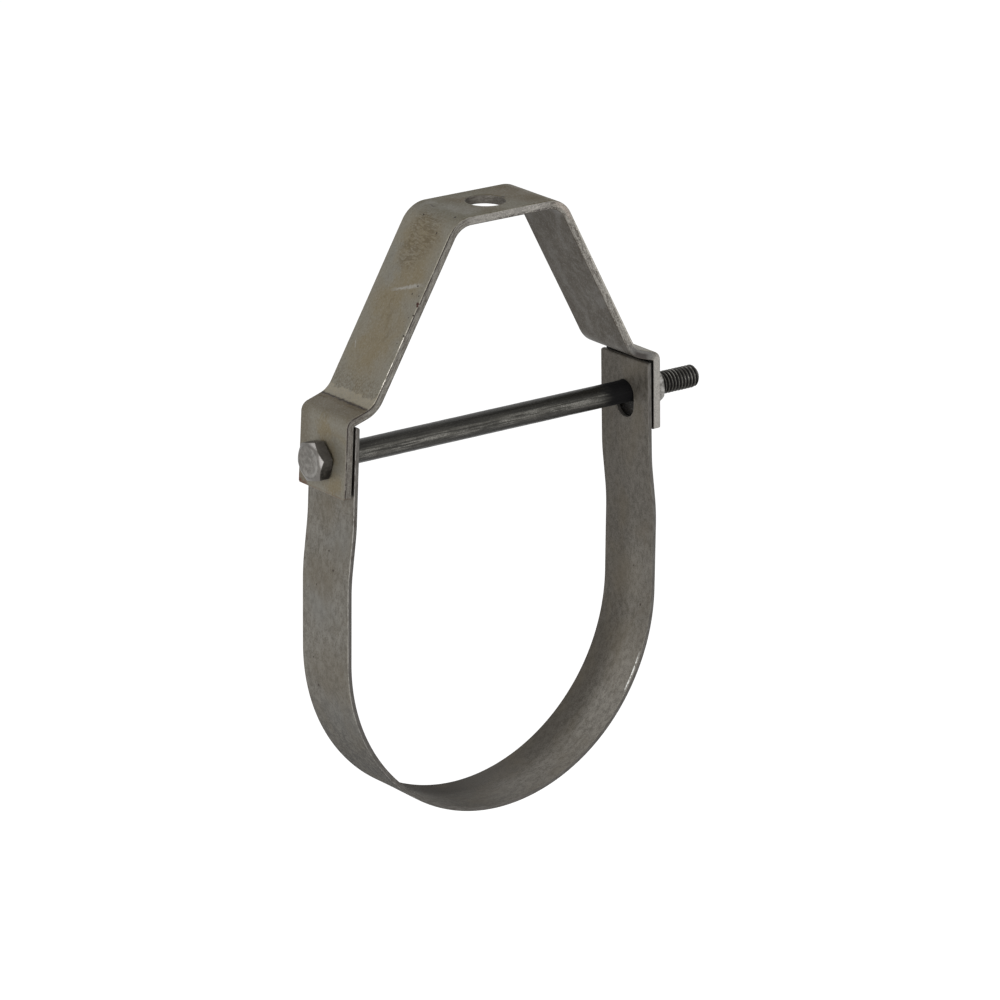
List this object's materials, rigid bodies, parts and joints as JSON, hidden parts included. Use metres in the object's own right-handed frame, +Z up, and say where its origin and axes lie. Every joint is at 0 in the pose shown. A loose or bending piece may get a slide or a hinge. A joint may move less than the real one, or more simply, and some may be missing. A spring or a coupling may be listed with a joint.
{
  "type": "clevis hanger",
  "caption": "Steel clevis pipe hanger: a bent upper yoke with a rod hole, a U strap for the pipe, and a hex bolt and nut through both.",
  "frame": {"origin": "on the rod hole's axis, at the top plate's underside, where the rod's nut bears", "axes": "+X along the cross bolt towards its nut, +Y along the pipe, +Z up along the rod"},
  "size_m": [0.1622, 0.0254, 0.2099],
  "materials": {
    "yoke_steel": "plain rolled steel, satin, mottled",
    "strap_steel": "plain rolled steel, satin",
    "bolt_steel": "dark oiled steel with worn head",
    "nut_steel": "dull pale steel"
  },
  "bodies": {
    "yoke": {"upper_yoke": "yoke_steel"},
    "strap": {"lower_strap": "strap_steel"},
    "bolt": {"cross_bolt": "bolt_steel"},
    "nut": {"hex_nut": "nut_steel"}
  },
  "joints": [
    {"name": "strap_swing", "type": "hinge", "parent": "yoke", "child": "strap", "pos_m": [0, 0, -0.0739], "axis": [1, 0, 0], "range_deg": [-2.5, 2.5]},
    {"name": "bolt_turn", "type": "hinge", "parent": "yoke", "child": "bolt", "pos_m": [0, 0, -0.0739], "axis": [1, 0, 0], "continuous": true},
    {"name": "nut_turn", "type": "hinge", "parent": "bolt", "child": "nut", "pos_m": [0, 0, -0.0739], "axis": [1, 0, 0], "continuous": true}
  ]
}
